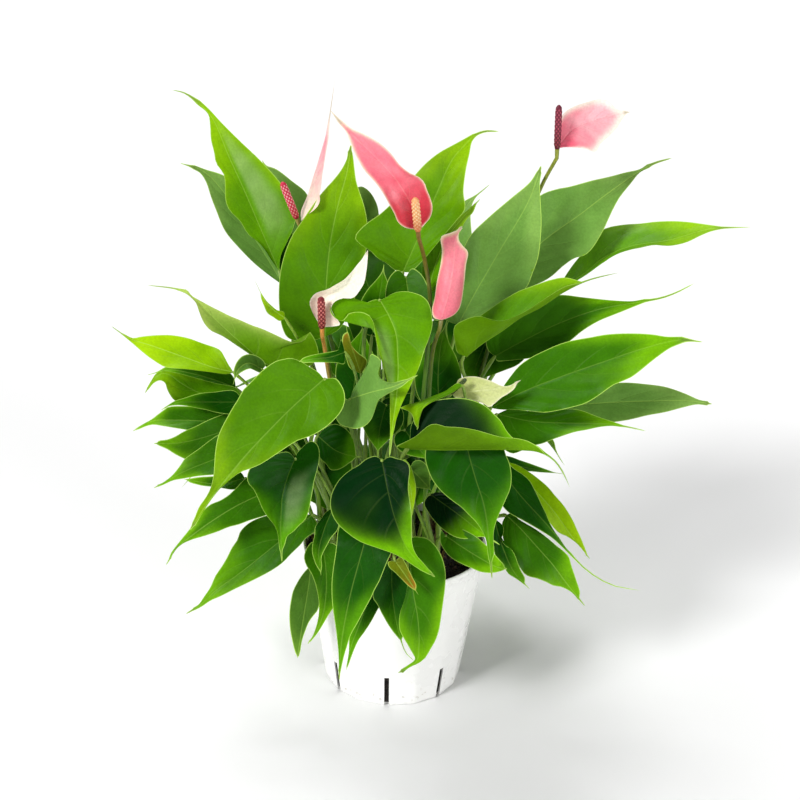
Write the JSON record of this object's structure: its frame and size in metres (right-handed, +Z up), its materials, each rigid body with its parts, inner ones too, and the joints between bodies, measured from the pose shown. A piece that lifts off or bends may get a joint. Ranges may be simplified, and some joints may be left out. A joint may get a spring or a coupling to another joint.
{
  "type": "potted anthurium",
  "caption": "Leafy anthurium with heart-shaped leaves, pink, cream and green flowers with spikes, growing in soil in a round white slotted nursery pot.",
  "frame": {"origin": "middle of the pot's flat underside", "axes": "+Z up, +Y towards the back of the plant, +X to the right as the picture shows it"},
  "size_m": [0.4248, 0.286, 0.407],
  "materials": {
    "pot_plastic": "white, slightly glossy, thin moulded polypropylene",
    "soil": null,
    "leaf": null,
    "stem": "smooth green to brown flower stem",
    "spathe_pink": "pink, waxy",
    "spathe_cream": "cream white, waxy",
    "spathe_green": "pale green, waxy",
    "spadix_yellow": "yellow-cream, finely beaded",
    "spadix_red": "dark red, finely beaded",
    "spadix_green": "dark green, finely beaded"
  },
  "bodies": {
    "root": {"pot": "pot_plastic", "soil": "soil", "shoot_01": "leaf", "shoot_02": "leaf", "shoot_03": "leaf", "shoot_04": "leaf", "shoot_05": "leaf", "shoot_06": "leaf", "shoot_07": "leaf", "shoot_08": "leaf", "shoot_09": "leaf", "shoot_10": "leaf", "shoot_11": "leaf", "shoot_12": "leaf", "shoot_13": "leaf", "shoot_14": "leaf", "shoot_15": "leaf", "shoot_16": "leaf", "shoot_17": "leaf", "shoot_18": "leaf", "shoot_19": "leaf", "shoot_20": "leaf", "shoot_21": "leaf", "flower_1_spathe": "spathe_pink", "flower_1_spadix": "spadix_yellow", "flower_1_stem": "stem", "flower_2_spathe": "spathe_pink", "flower_2_spadix": "spadix_yellow", "flower_2_stem": "stem", "flower_3_spathe": "spathe_cream", "flower_3_spadix": "spadix_red", "flower_3_stem": "stem", "flower_4_spathe": "spathe_pink", "flower_4_spadix": "spadix_red", "flower_4_stem": "stem", "flower_5_spathe": "spathe_pink", "flower_5_spadix": "spadix_red", "flower_5_stem": "stem", "flower_6_spathe": "spathe_green", "flower_6_spadix": "spadix_green", "flower_6_stem": "stem"}
  },
  "joints": []
}
